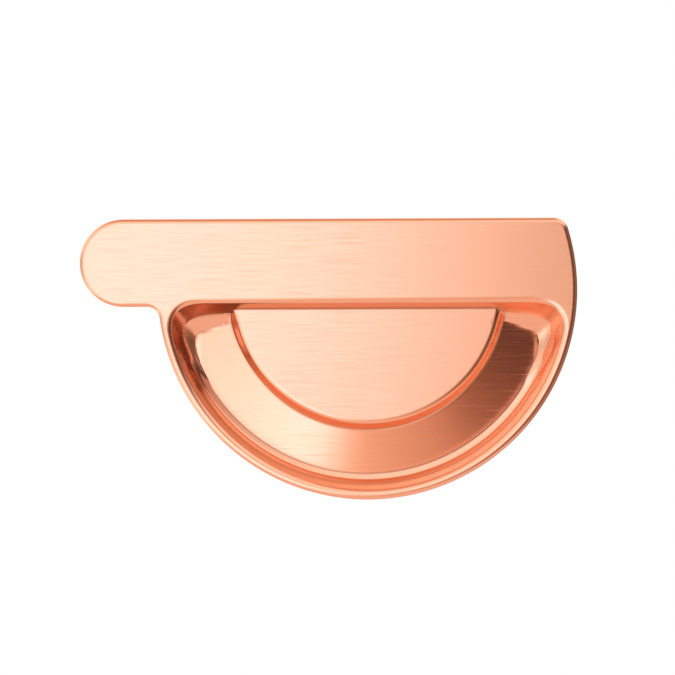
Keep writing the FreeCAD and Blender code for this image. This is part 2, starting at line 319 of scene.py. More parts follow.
class Field:
    """A number that a tree's nodes work out, for every point of a mesh or every way of the light."""

    def __init__(self, tree: NodeTree, socket: NodeSocket) -> None:
        """Keeps the tree and the socket that gives the number."""
        self.tree = tree
        self.socket = socket

    def math(self, operation: str, *others: "Field | float") -> "Field":
        """One step of arithmetic on this field.

        Args:
            operation: Name of the Math node's operation.
            others: Its second and third inputs.

        Returns:
            The result as a new field.
        """
        entries = [term.socket if isinstance(term, Field) else term for term in (self, *others)]
        node = add_node(self.tree, "ShaderNodeMath", dict(enumerate(entries)), operation=operation)
        return Field(self.tree, node.outputs[0])

    def __add__(self, other: "Field | float") -> "Field":
        """Sum."""
        return self.math("ADD", other)

    def __sub__(self, other: "Field | float") -> "Field":
        """Difference."""
        return self.math("SUBTRACT", other)

    def __mul__(self, other: "Field | float") -> "Field":
        """Product."""
        return self.math("MULTIPLY", other)

    def __truediv__(self, other: "Field | float") -> "Field":
        """Quotient."""
        return self.math("DIVIDE", other)

    def __neg__(self) -> "Field":
        """The same size with the other sign."""
        return self.math("MULTIPLY", -1.0)

    def root(self) -> "Field":
        """Square root, and zero where there is none."""
        return self.math("MAXIMUM", 0.0).math("SQRT")

    def least(self, other: "Field | float") -> "Field":
        """The smaller of two."""
        return self.math("MINIMUM", other)

    def most(self, other: "Field | float") -> "Field":
        """The larger of two."""
        return self.math("MAXIMUM", other)

    def below(self, other: "Field | float") -> "Field":
        """One where this field is the smaller, and zero elsewhere."""
        return self.math("LESS_THAN", other)

    def flipped(self) -> "Field":
        """One less this field."""
        return -self + 1.0

    def ridge(self) -> "Field":
        """One where this field is zero, falling to zero where it is -1 and 1."""
        return self.math("ABSOLUTE").flipped().most(0.0)

    def towards(self, other: "Field", share: "Field") -> "Field":
        """This field where the share is 0, another where it is 1, and between them elsewhere."""
        return self + (other - self) * share

    def ease(self, start: float, end: float) -> "Field":
        """A smooth rise from 0 to 1 between two values of this field.

        Args:
            start: Value at which the rise starts.
            end: Value at which it ends.

        Returns:
            The rise as a new field.
        """
        entries = {"Value": self.socket, "From Min": start, "From Max": end}
        node = add_node(self.tree, "ShaderNodeMapRange", entries, interpolation_type="SMOOTHSTEP")
        return Field(self.tree, node.outputs["Result"])

    def pick(self, yes: "Field", no: "Field") -> "Field":
        """One field where this one is 1, another where it is 0."""
        return self * yes + self.flipped() * no


@dataclass(frozen=True)
class Walls:
    """The plug's walls as each point sees them: their depth and slope there, and where it lies.

    A part or share is 1 beside what it is named for and 0 away from it.
    """

    radius: Field
    depth: Field
    slope: Field
    rim_part: Field
    bar_part: Field
    bar_share: Field
    corner_share: Field
    near_bar: Field
    on_crescent: Field


@dataclass(frozen=True)
class Shelf:
    """The low shelf at the foot of the walls: how far past its crease a point is, its rise and slope."""

    past_crease: Field
    rise: Field
    slope: Field


@dataclass
class PressTool:
    """The rule of the press, which gives the depth of every point of the blank, in millimetres."""

    sizes: CapSizes
    tree: NodeTree | None = None
    group: Node | None = None
    # Share of painted shade in the creases, which the press rule works out.
    crease_shade: Field | None = None
    corner_power: float = 3.0
    corner_rounds: int = 4
    corner_peak: float = 4.0
    depth_limit: float = 50.0
    least_run: float = 0.01
    least_length: float = 0.001
    probe: float = 0.02
    mouth_share: float = 0.6
    # How much painted shade goes into the crease at the half disc's foot.
    disc_crease_shade: float = 0.6

    INPUTS = (
        "Outer Bend Radius", "Mouth Radius", "Bar Mouth Radius", "Plug Base Radius", "Pocket Base Radius",
        "Bar Base Radius", "Corner Base Radius", "Plateau Foot Radius", "Disc Foot Radius",
        "Plateau Edge Radius", "Corner Reach", "Crescent Depth", "Plateau Depth",
    )

    def _input(self, name: str) -> Field:
        """The tree's own input of that name."""
        return Field(self.tree, self.group.outputs[name])

    def _attribute(self, name: str) -> Field:
        """A number that the blank carries on its points."""
        node = add_node(self.tree, "GeometryNodeInputNamedAttribute", {"Name": name}, data_type="FLOAT")
        return Field(self.tree, node.outputs["Attribute"])

    def _bend(self, first: Field, first_slope: Field | float, second: Field, second_slope: Field | float,
              radius: Field, turn: Turn) -> Field:
        """Two depths joined by a bend with a round section.

        Args:
            first: Depth on the side that comes first along the way inwards.
            first_slope: How fast it grows on that way.
            second: Depth on the far side.
            second_slope: How fast that one grows.
            radius: Radius of the bend.
            turn: Hollow where the shallower depth counts, crowned where the deeper does.

        Returns:
            The depth of the joined surface.
        """
        sign = turn.value
        first, second = first * sign, second * sign
        slopes = []
        for slope in (first_slope, second_slope):
            slopes.append(slope * sign if isinstance(slope, Field) else self._constant(slope * sign))
        way = (first - second) / (slopes[0] - slopes[1])
        angles = [slope.math("ARCTANGENT") for slope in slopes]
        leg = radius * ((angles[0] - angles[1]) * 0.5).math("TANGENT")
        start = -(leg * angles[0].math("COSINE"))
        end = leg * angles[1].math("COSINE")
        middle = start + radius * angles[0].math("SINE")
        base = first - slopes[0] * way - leg * angles[0].math("SINE") - radius * angles[0].math("COSINE")
        offset = way - middle
        curved = base + (radius * radius - offset * offset).root()
        in_bend = start.below(way) * way.below(end)
        return in_bend.pick(curved, first.least(second)) * sign

    def _constant(self, number: float) -> Field:
        """The same number at every point.

        Args:
            number: The number.

        Returns:
            The field that gives it.
        """
        node = self.tree.nodes.new("ShaderNodeValue")
        node.outputs[0].default_value = number
        return Field(self.tree, node.outputs[0])

    def _floor(self, radius: Field) -> Field:
        """Depth of the plug's floor: the plateau, the half disc's wall and the crescent.

        Args:
            radius: Distance from the half round's axis.

        Returns:
            The depth.
        """
        wall_slope = 1 / math.tan(math.radians(self.sizes.disc_draft))
        crescent_slope = math.tan(math.radians(self.sizes.crescent_slope))
        out = radius - self.sizes.disc_radius
        foot = self._input("Crescent Depth")
        plateau = self._input("Plateau Depth")
        raised = self._bend(plateau, 0.0, foot + out * wall_slope, wall_slope,
                            self._input("Plateau Edge Radius"), Turn.CROWNED)
        past_wall = out.most(-self.sizes.crescent_depth)
        return self._bend(raised, wall_slope, foot + past_wall * crescent_slope, crescent_slope,
                          self._input("Disc Foot Radius"), Turn.HOLLOW)

    def _corner(self, rim_left: Field, bar_left: Field, reach: Field) -> Field:
        """Depth of the wall in the corner between the rim and the bar.

        At each depth the corner's outline is a curve between the two walls whose power is the corner's.
        Newton's method finds the depth, from that of a corner with a circular outline.

        Args:
            rim_left: What is left of the corner's reach inwards from the rim's edge.
            bar_left: What is left of it down from the bar's edge.
            reach: How far the corner reaches along each wall.

        Returns:
            The depth.
        """
        rim_lean, bar_lean, power = self.sizes.rim_lean, self.sizes.bar_lean, self.corner_power
        lean = rim_lean**2 + bar_lean**2
        half = rim_left * rim_lean + bar_left * bar_lean
        rest = rim_left * rim_left + bar_left * bar_left - reach * reach
        depth = ((half * half - rest * lean).root() - half) / lean
        for _ in range(self.corner_rounds):
            rim_rest = (rim_left + depth * rim_lean).most(self.least_run)
            bar_rest = (bar_left + depth * bar_lean).most(self.least_run)
            miss = rim_rest.math("POWER", power) + bar_rest.math("POWER", power)
            miss = miss - reach.math("POWER", power)
            pull = (rim_rest * rim_rest * rim_lean + bar_rest * bar_rest * bar_lean) * power
            depth = (depth - miss / pull).most(-self.depth_limit).least(self.depth_limit)
        return depth

    def _walls(self, radius: Field, z: Field) -> Walls:
        """The rim wall and the bar wall, joined by the two corners.

        Args:
            radius: Distance from the half round's axis.
            z: Height.

        Returns:
            The walls at every point.
        """
        rim_lean, bar_lean = self.sizes.rim_lean, self.sizes.bar_lean
        reach = self._input("Corner Reach")
        from_rim = -radius + self.sizes.mouth_rim
        from_bar = -z - self.sizes.bar_drop
        rim_wall = from_rim / rim_lean
        bar_wall = from_bar / bar_lean
        rim_left = reach - from_rim
        bar_left = reach - from_bar
        beside_bar = (rim_left + bar_wall * rim_lean).below(0.0)
        beside_rim = (bar_left + rim_wall * bar_lean).below(0.0)
        straight = beside_bar.most(beside_rim)
        depth = straight.pick(rim_wall.least(bar_wall), self._corner(rim_left, bar_left, reach))
        one, nought = self._constant(1.0), self._constant(0.0)
        rim_part = ((rim_left + depth * rim_lean).most(0.0) / reach).math("POWER", self.corner_power - 1)
        bar_part = ((bar_left + depth * bar_lean).most(0.0) / reach).math("POWER", self.corner_power - 1)
        rim_part = beside_bar.pick(nought, beside_rim.pick(one, rim_part))
        bar_part = beside_rim.pick(nought, beside_bar.pick(one, bar_part))
        length = (rim_part * rim_part + bar_part * bar_part).root().most(self.least_length)
        rim_part = rim_part / length
        bar_part = bar_part / length
        slope = one / (rim_part * rim_lean + bar_part * bar_lean).most(self.least_run)
        bar_share = bar_part * bar_part
        # The two squares make at most a quarter, so the peak brings the share to 1 midway.
        corner_share = bar_share * rim_part * rim_part * self.corner_peak
        near_bar = z.ease(self.sizes.pocket_from, self.sizes.pocket_to)
        past_disc = radius - (self.sizes.disc_radius - self.sizes.crescent_lead)
        on_crescent = (past_disc / self.sizes.crescent_blend).most(0.0).least(1.0)
        return Walls(radius, depth, slope, rim_part, bar_part, bar_share, corner_share, near_bar,
                     on_crescent)

    def _shelf(self, walls: Walls) -> Shelf:
        """The low shelf along the foot of the walls, wider towards the bar and in the corners.

        Args:
            walls: The plug's walls.

        Returns:
            The shelf at every point.
        """
        sizes = self.sizes
        reach = walls.near_bar * (sizes.pocket_shelf_reach - sizes.shelf_reach) + sizes.shelf_reach
        reach = reach + walls.corner_share * (sizes.corner_shelf_reach - sizes.pocket_shelf_reach)
        slant = walls.radius.ease(sizes.disc_radius, sizes.mouth_rim - sizes.pocket_shelf_reach)
        bar_reach = slant * sizes.bar_shelf_slant + (sizes.bar_shelf_reach - sizes.pocket_shelf_reach)
        past_crease = reach + walls.bar_share * bar_reach - walls.depth / walls.slope
        rounding = (past_crease * past_crease + sizes.shelf_crease**2).root()
        lift = walls.bar_share * (sizes.bar_shelf_lift - sizes.shelf_lift) + sizes.shelf_lift
        lift = lift + walls.corner_share * (sizes.corner_shelf_lift - sizes.shelf_lift)
        lift = lift * walls.on_crescent
        rise = lift * (rounding + past_crease) * 0.5
        return Shelf(past_crease, rise, lift * (past_crease / rounding + 1.0) * 0.5)

    def _painted_crease_shade(self, walls: Walls, shelf: Shelf, floor: Field) -> Field:
        """Share of painted shade, a darkening laid into the creases of the plug where shade falls.

        Args:
            walls: The plug's walls.
            shelf: The shelf at their foot.
            floor: Depth of the floor with the shelf.

        Returns:
            The share, from 0 to 1.
        """
        sizes = self.sizes
        above_floor = walls.depth - floor
        shelf_line = (shelf.past_crease / sizes.crease_shade_width).ridge() * walls.on_crescent
        foot_line = (above_floor / sizes.plateau_foot_height).ridge() * walls.on_crescent.flipped()
        disc_line = ((walls.radius - sizes.disc_radius) / sizes.crease_shade_width).ridge()
        inside = self._constant(0.0).below(above_floor)
        return shelf_line.most(foot_line).most(disc_line * inside * self.disc_crease_shade)

    def _depth(self, x: Field, z: Field) -> Field:
        """Depth of the dished plug at a place of the plan, zero on the bar and the crest.

        Args:
            x: Place along the bar.
            z: Height.

        Returns:
            The depth behind the front plane.
        """
        radius = (x * x + z * z).root()
        walls = self._walls(radius, z)
        shelf = self._shelf(walls)
        floor = self._floor(radius) - shelf.rise
        rise = self._floor(radius + self.probe) - self._floor(radius - self.probe)
        floor_way = walls.bar_part * -z / radius - walls.rim_part
        floor_slope = rise / (2 * self.probe) * floor_way + shelf.slope
        base = self._input("Plug Base Radius")
        base = base.towards(self._input("Pocket Base Radius"), walls.near_bar)
        base = base.towards(self._input("Bar Base Radius"), walls.bar_share)
        base = base.towards(self._input("Corner Base Radius"), walls.corner_share)
        base = self._input("Plateau Foot Radius").towards(base, walls.on_crescent)
        dished = self._bend(walls.depth, walls.slope, floor, floor_slope, base, Turn.HOLLOW)
        edge = self._input("Mouth Radius")
        edge = edge.towards(self._input("Bar Mouth Radius"), walls.bar_share)
        mouth = self._bend(self._constant(0.0), 0.0, walls.depth, walls.slope, edge, Turn.CROWNED)
        # Painted shade: a darkening along the creases, where shade falls, kept for the material.
        self.crease_shade = self._painted_crease_shade(walls, shelf, floor)
        return walls.depth.below(self.mouth_share * self.sizes.plateau_depth).pick(mouth, dished)

    def build(self, material: Material) -> NodeTree:
        """Makes the tree that presses a flat blank into the cap's outside face.

        Args:
            material: The finish of the sheet.

        Returns:
            The tree, ready for a modifier.
        """
        tree = bpy.data.node_groups.new("press_rule", "GeometryNodeTree")
        self.tree = tree
        tree.interface.new_socket("Geometry", in_out="INPUT", socket_type="NodeSocketGeometry")
        tree.interface.new_socket("Geometry", in_out="OUTPUT", socket_type="NodeSocketGeometry")
        for name in self.INPUTS:
            tree.interface.new_socket(name, in_out="INPUT", socket_type="NodeSocketFloat")
        group = add_node(tree, "NodeGroupInput", {})
        self.group = group
        position = add_node(tree, "GeometryNodeInputPosition", {})
        place = add_node(tree, "ShaderNodeSeparateXYZ", {0: position.outputs[0]})
        x = Field(tree, place.outputs["X"])
        z = Field(tree, place.outputs["Z"])
        plug = self._depth(x / MM, z / MM)
        bend_radius = self._input("Outer Bend Radius")
        short_of_flat = (bend_radius - self._attribute("edge_in")).most(0.0)
        outer_bend = bend_radius - (bend_radius * bend_radius - short_of_flat * short_of_flat).root()
        depth = plug + outer_bend + self._attribute("flange") - self.sizes.sheet
        entries = {"X": x.socket, "Y": (depth * MM).socket, "Z": z.socket}
        target = add_node(tree, "ShaderNodeCombineXYZ", entries)
        # Stores the painted crease shade on the points, for the material to darken the colour there.
        entries = {"Name": "crease_shade", "Value": self.crease_shade.socket}
        with_crease_shade = add_node(tree, "GeometryNodeStoreNamedAttribute", entries, data_type="FLOAT",
                         domain="POINT")
        press = add_node(tree, "GeometryNodeSetPosition", {"Position": target.outputs[0]})
        smooth = add_node(tree, "GeometryNodeSetShadeSmooth", {})
        realize = add_node(tree, "GeometryNodeRealizeInstances", {})
        finish = add_node(tree, "GeometryNodeSetMaterial", {"Material": material})
        out = add_node(tree, "NodeGroupOutput", {})
        chain = [group, with_crease_shade, press, smooth, realize, finish, out]
        for giver, taker in zip(chain, chain[1:]):
            tree.links.new(giver.outputs["Geometry"], taker.inputs["Geometry"])
        return tree

    def apply(self, blank: Object) -> None:
        """Gives a blank the press rule as a modifier, with its inputs set.

        Args:
            blank: The flat blank.
        """
        modifier = blank.modifiers.new("press_rule", "NODES")
        modifier.node_group = self.tree
        for item in self.tree.interface.items_tree:
            if item.in_out == "INPUT" and item.name in self.INPUTS:
                modifier[item.identifier] = getattr(self.sizes, item.name.lower().replace(" ", "_"))


@dataclass(frozen=True)
class Band:
    """A run of rings or stations, from one distance up to another."""

    start: float
    end: float
    step: float

    def places(self, origin: float = 0.0) -> np.ndarray:
        """Distances of the rings, counted from an origin."""
        return np.arange(origin + self.start, origin + self.end, self.step)


@dataclass
class Blank:
    """The flat sheet before it is pressed, with more points where it will bend."""

    sizes: CapSizes
    edge_spacing: float = 0.7
    mouth_spacing: float = 0.55
    plate_spacing: float = 1.0
    corner_turn: float = 6.0
    bend_steps: int = 10
    flange_steps: int = 6
    guard: float = 0.03
    wall_gap: float = 0.05
    wall_end: float = 0.86
    wall_step: float = 0.12
    foot_bands: tuple[Band, ...] = (
        Band(0.88, 1.42, 0.05),
        Band(1.50, 1.82, 0.10),
        Band(1.85, 2.45, 0.06),
        Band(2.50, 4.45, 0.10),
    )
    disc_ends: Band = Band(-2.6, 1.0, 0.1)
    crescent_gap: float = 0.3
    crescent_end: float = 0.9
    crescent_step: float = 0.36
    disc_bands: tuple[Band, ...] = (Band(0.8, -2.4, -0.1), Band(-2.6, -4.0, -0.4))
    floor_turn: float = 0.9
    floor_gap: float = 0.25
    plate_gap: float = 0.6
    merge: float = 1e-7

    def outline(self) -> list[Arc | Line]:
        """The cap's outline, anticlockwise from the right end of its upper edge.

        Returns:
            Lines and arcs, each starting where the last one ends.
        """
        sizes = self.sizes
        outer, top = sizes.outer_radius, sizes.top
        reach, height, bead = sizes.bead_reach, sizes.bead_height, sizes.bead_radius
        corner, throat = sizes.back_corner_radius, sizes.throat_radius
        corner_x = sizes.back_corner_x
        corner_turn = math.degrees(math.asin((top - corner) / (outer - corner)))
        throat_z = height - bead - throat
        throat_x = -math.sqrt((outer + throat) ** 2 - throat_z**2)
        throat_turn = math.degrees(math.asin(-throat_z / (outer + throat)))
        return [
            Line((corner_x, top), (-reach, top)),
            Arc((-reach, height), bead, 90, 270),
            Line((-reach, height - bead), (throat_x, height - bead)),
            Arc((throat_x, throat_z), throat, 90, throat_turn),
            Arc((0, 0), outer, 180 + throat_turn, 360 + corner_turn),
            Arc((corner_x, top - corner), corner, corner_turn, 90),
        ]

    def mouth(self) -> Rows:
        """The edge of the plug, where its walls meet the front plane.

        Returns:
            Points and inward normals, one row each.
        """
        sizes = self.sizes
        corner, rim = sizes.plug_corner_radius, sizes.mouth_rim
        corner_z = -sizes.bar_drop - corner
        corner_x = math.sqrt((rim - corner) ** 2 - corner_z**2)
        turn = math.degrees(math.asin(-corner_z / (rim - corner)))
        fine_from = sizes.disc_radius + self.disc_ends.start
        fine_to = sizes.disc_radius + self.disc_ends.end
        fine_step = self.disc_ends.step
        stations = np.concatenate([
            np.arange(0, fine_from, self.mouth_spacing),
            np.arange(fine_from, fine_to - fine_step / 2, fine_step),
            np.linspace(fine_to, corner_x, math.ceil((corner_x - fine_to) / self.mouth_spacing)),
        ])
        along = np.concatenate([stations[::-1], -stations[1:-1]])
        bar = np.stack([along, np.full(len(along), -sizes.bar_drop)], axis=1)
        bar_normals = np.tile(np.array([0.0, -1.0]), (len(along), 1))
        rest, rest_normals = sample_outline([
            Arc((-corner_x, corner_z), corner, 90, 180 + turn),
            Arc((0, 0), rim, 180 + turn, 360 - turn),
            Arc((corner_x, corner_z), corner, 360 - turn, 450),
        ], self.mouth_spacing, self.corner_turn)
        return np.concatenate([bar, rest])[1:], np.concatenate([bar_normals, rest_normals])[1:]

    def mouth_offsets(self) -> np.ndarray:
        """How far inside the plug's edge each ring of points lies.

        Returns:
            Distances in millimetres, closer together where the sheet bends.
        """
        sizes = self.sizes
        angles = np.radians(np.linspace(0, 90 - sizes.rim_draft, self.bend_steps + 1))
        bend = sizes.mouth_radius * np.sin(angles) - sizes.mouth_flat
        wall = np.arange(bend[-1] + self.wall_gap, self.wall_end, self.wall_step)
        foot = [band.places() for band in self.foot_bands]
        return np.concatenate([bend[:1] - self.guard, bend, wall, *foot])

    def floor_points(self, bar_line: float, rim: float) -> np.ndarray:
        """Points of the plug's floor, on arcs round the half disc and a grid on the plateau.

        Args:
            bar_line: Height under which the points lie.
            rim: Radius inside which they lie.

        Returns:
            Points, one row each.
        """
        disc = self.sizes.disc_radius
        crescent = np.arange(rim - self.crescent_gap, disc + self.crescent_end, -self.crescent_step)
        radii = np.concatenate([crescent, *[band.places(disc) for band in self.disc_bands]])
        turns = np.radians(np.arange(180, 360 + self.floor_turn / 2, self.floor_turn))
        arcs = (radii[:, None, None] * np.stack([np.cos(turns), np.sin(turns)], axis=1)).reshape(-1, 2)
        inner = radii[-1] - 0.5 * self.plate_spacing
        grid = self.grid(-inner, inner, -inner, bar_line)
        grid = grid[np.hypot(*grid.T) < inner]
        points = np.concatenate([arcs, grid])
        return points[points[:, 1] < bar_line - self.floor_gap]

    def grid(self, left: float, right: float, low: float, high: float) -> np.ndarray:
        """Points of a square grid between four sides.

        Args:
            left: Least x.
            right: Greatest x.
            low: Least height.
            high: Greatest height.

        Returns:
            Points, one row each.
        """
        across = np.arange(left, right, self.plate_spacing)
        upward = np.arange(low, high, self.plate_spacing)
        return np.stack(np.meshgrid(across, upward), axis=-1).reshape(-1, 2)

    def plate_points(self) -> np.ndarray:
        """Points of the flat bar, clear of its edges and of the plug.

        Returns:
            Points, one row each.
        """
        sizes = self.sizes
        points = self.grid(-sizes.bead_reach - sizes.bead_radius, sizes.outer_radius,
                           sizes.bead_height - sizes.bead_radius, sizes.top)
        x, z = points.T
        radius = np.hypot(x, z)
        in_round = np.minimum(sizes.outer_radius - radius, sizes.top - z)
        end = sizes.bead_radius - np.hypot(np.minimum(x + sizes.bead_reach, 0), z - sizes.bead_height)
        in_bar = np.where(x < 0, end, -1.0)
        margin = sizes.outer_bend_radius + self.plate_gap
        corner, corner_x = sizes.back_corner_radius, sizes.back_corner_x
        past_corner = (x > corner_x) & (z > sizes.top - corner)
        in_corner = np.hypot(x - corner_x, z - sizes.top + corner) < corner - margin
        into_plug = np.minimum(sizes.mouth_rim - radius, -sizes.bar_drop - z)
        clear = into_plug < -sizes.mouth_flat - self.plate_gap
        return points[(np.maximum(in_round, in_bar) > margin) & clear & (in_corner | ~past_corner)]

    @staticmethod
    def strips(rings: int, count: int, first: int) -> np.ndarray:
        """Quads between rings of points that follow each other.

        Args:
            rings: Number of rings.
            count: Points in each ring.
            first: Index of the first point of the first ring.

        Returns:
            Four indices for each quad.
        """
        ring = np.arange(count)
        after = (ring + 1) % count
        quads = []
        for index in range(rings - 1):
            low = first + index * count
            high = low + count
            quads.append(np.stack([low + ring, low + after, high + after, high + ring], axis=1))
        return np.concatenate(quads)

    @staticmethod
    def inside(points: np.ndarray, loop: np.ndarray) -> np.ndarray:
        """Which points lie inside a closed loop.

        Args:
            points: Points to test, one row each.
            loop: Corners of the loop, in order.

        Returns:
            True or false for each point.
        """
        after = np.roll(loop, -1, axis=0)
        x, z = points[:, :1], points[:, 1:]
        crosses = (loop[:, 1] > z) != (after[:, 1] > z)
        rise = np.where(after[:, 1] == loop[:, 1], 1.0, after[:, 1] - loop[:, 1])
        meets = loop[:, 0] + (z - loop[:, 1]) / rise * (after[:, 0] - loop[:, 0])
        return (crosses & (x < meets)).sum(axis=1) % 2 == 1

    def fill(self, points: np.ndarray, loops: Sequence[np.ndarray], hole: bool) -> np.ndarray:
        """Triangles that fill the space inside one loop of points, or between two.

        Args:
            points: All points of the blank, one row each.
            loops: Indices of the loops, the outer one first, then loose points inside.
            hole: Whether the second loop is a hole.

        Returns:
            Three indices for each triangle.
        """
        used = np.concatenate(loops)
        edges: list[tuple[int, int]] = []
        start = 0
        for loop in loops[:2 if hole else 1]:
            edges += [(start + i, start + (i + 1) % len(loop)) for i in range(len(loop))]
            start += len(loop)
        flat = [Vector(point) for point in points[used].tolist()]
        _, _, faces, origins, _, _ = delaunay_2d_cdt(flat, edges, [], 0, self.merge)
        back = np.array([origin[0] for origin in origins])
        triangles = used[back[np.array(faces)]]
        centres = points[triangles].mean(axis=1)
        keep = self.inside(centres, points[loops[0]])
        if hole:
            keep &= ~self.inside(centres, points[loops[1]])
        return triangles[keep]

    def build(self, name: str) -> Object:
        """Makes the flat blank, with its distance from the edge and its flange on each point.

        Args:
            name: Name of the object.

        Returns:
            The blank, linked to the scene.
        """
        sizes = self.sizes
        bend = sizes.outer_bend_radius
        edge, edge_normals = sample_outline(self.outline(), self.edge_spacing, self.corner_turn)
        straight = sizes.flange_depth + sizes.sheet - bend
        upright = np.linspace(straight, 0, self.flange_steps + 1)
        flange = np.concatenate([upright, np.zeros(self.bend_steps + 1)])
        turns = np.radians(np.linspace(0, 90, self.bend_steps + 1))
        bent = bend * (1 - np.cos(turns))
        edge_in = np.concatenate([np.zeros(self.flange_steps), bent, [bend + self.guard]])
        mouth, mouth_normals = self.mouth()
        offsets = self.mouth_offsets()
        rings = [edge + distance * edge_normals for distance in edge_in]
        mouth_rings = [mouth + distance * mouth_normals for distance in offsets]
        last = mouth_rings[-1]
        floor = self.floor_points(-sizes.bar_drop - offsets[-1], sizes.mouth_rim - offsets[-1])
        floor = floor[self.inside(floor, last)]
        plate = self.plate_points()
        points = np.concatenate([*rings, *mouth_rings, plate, floor])
        first_mouth = len(rings) * len(edge)
        first_plate = first_mouth + len(mouth_rings) * len(mouth)
        first_floor = first_plate + len(plate)
        edge_loop = np.arange(first_mouth - len(edge), first_mouth)
        mouth_loop = np.arange(first_mouth, first_mouth + len(mouth))
        last_loop = np.arange(first_plate - len(mouth), first_plate)
        faces = [
            self.strips(len(rings), len(edge), 0),
            self.strips(len(mouth_rings), len(mouth), first_mouth),
            self.fill(points, [edge_loop, mouth_loop, np.arange(first_plate, first_floor)], True),
            self.fill(points, [last_loop, np.arange(first_floor, len(points))], False),
        ]
        places = np.stack([points[:, 0], np.zeros(len(points)), points[:, 1]], axis=1) * MM
        mesh = bpy.data.meshes.new(name)
        mesh.from_pydata(places.tolist(), [], [face for part in faces for face in part.tolist()])
        wide = np.full(len(points), sizes.outer_radius)
        wide[:first_mouth] = np.repeat(edge_in, len(edge))
        drop = np.zeros(len(points))
        drop[:first_mouth] = np.repeat(flange, len(edge))
        for attribute, numbers in (("edge_in", wide), ("flange", drop)):
            layer = mesh.attributes.new(attribute, "FLOAT", "POINT")
            layer.data.foreach_set("value", numbers.astype(np.float32))
        return add_object(name, mesh)


@dataclass(frozen=True)
class BrightCopper:
    """Bright rolled copper sheet, with fine grain along the bar."""

    colour: Colour = (0.93, 0.50, 0.33)
    worn_colour: Colour = (0.88, 0.45, 0.29)
    roughness: float = 0.15
    scratched_roughness: float = 0.28
    grain_length: float = 9.0
    grain_width: float = 0.14
    grain_height: float = 0.0003
    grain_detail: float = 3.0
    scratch_from: float = 0.5
    scratch_to: float = 0.72
    # Painted shade: dark colour laid into the creases, and how much of it.
    crease_shade_colour: Colour = (0.42, 0.18, 0.10)
    crease_shade_share: float = 0.95

    def material(self) -> Material:
        """Makes the material with its grain, painted shade in the creases, roughness and bump.

        Returns:
            The material.
        """
        material = bpy.data.materials.new("bright_copper")
        material.use_nodes = True
        tree = material.node_tree
        along, across = 1 / (self.grain_length * MM), 1 / (self.grain_width * MM)
        place = add_node(tree, "ShaderNodeTexCoord", {})
        entries = {"Vector": place.outputs["Object"], "Scale": (along, along, across)}
        stretch = add_node(tree, "ShaderNodeMapping", entries)
        entries = {"Vector": stretch.outputs["Vector"], "Scale": 1.0, "Detail": self.grain_detail}
        grain = add_node(tree, "ShaderNodeTexNoise", entries).outputs["Fac"]
        tint = mix_colours(grain, (*self.colour, 1), (*self.worn_colour, 1))
        # Painted shade: the copper's colour is darkened along the creases, where shade falls.
        crease_shade_node = add_node(tree, "ShaderNodeAttribute", {}, attribute_name="crease_shade")
        share = Field(tree, crease_shade_node.outputs["Fac"]) * self.crease_shade_share
        with_crease_shade = mix_colours(share.socket, tint, (*self.crease_shade_colour, 1))
        entries = {"Value": grain, "From Min": self.scratch_from, "From Max": self.scratch_to,
                   "To Min": self.roughness, "To Max": self.scratched_roughness}
        rough = add_node(tree, "ShaderNodeMapRange", entries).outputs["Result"]
        bump = add_node(tree, "ShaderNodeBump", {"Height": grain, "Distance": self.grain_height * MM})
        feed(tree.nodes["Principled BSDF"], {
            "Base Color": with_crease_shade, "Metallic": 1.0, "Roughness": rough, "Normal": bump.outputs["Normal"]})
        return material


@dataclass(frozen=True)
class PaleCard:
    """Pale matt card, as studios lay under small things."""

    colour: Colour = (0.87, 0.81, 0.75)
    fibre_colour: Colour = (0.83, 0.77, 0.71)
    fibre: float = 2.5
    fibre_height: float = 0.05
    fibre_detail: float = 4.0
    roughness: float = 0.85
    roughness_spread: float = 0.1

    def material(self) -> Material:
        """Makes the material with its fibres, roughness and bump.

        Returns:
            The material.
        """
        material = bpy.data.materials.new("pale_card")
        material.use_nodes = True
        tree = material.node_tree
        place = add_node(tree, "ShaderNodeTexCoord", {})
        entries = {"Vector": place.outputs["Object"], "Scale": 1 / (self.fibre * MM),
                   "Detail": self.fibre_detail}
        fibres = add_node(tree, "ShaderNodeTexNoise", entries).outputs["Fac"]
        tint = mix_colours(fibres, (*self.colour, 1), (*self.fibre_colour, 1))
        spread = self.roughness_spread / 2
        entries = {"Value": fibres, "To Min": self.roughness - spread, "To Max": self.roughness + spread}
        rough = add_node(tree, "ShaderNodeMapRange", entries).outputs["Result"]
        bump = add_node(tree, "ShaderNodeBump", {"Height": fibres, "Distance": self.fibre_height * MM})
        feed(tree.nodes["Principled BSDF"], {
            "Base Color": tint, "Roughness": rough, "Normal": bump.outputs["Normal"]})
        return material


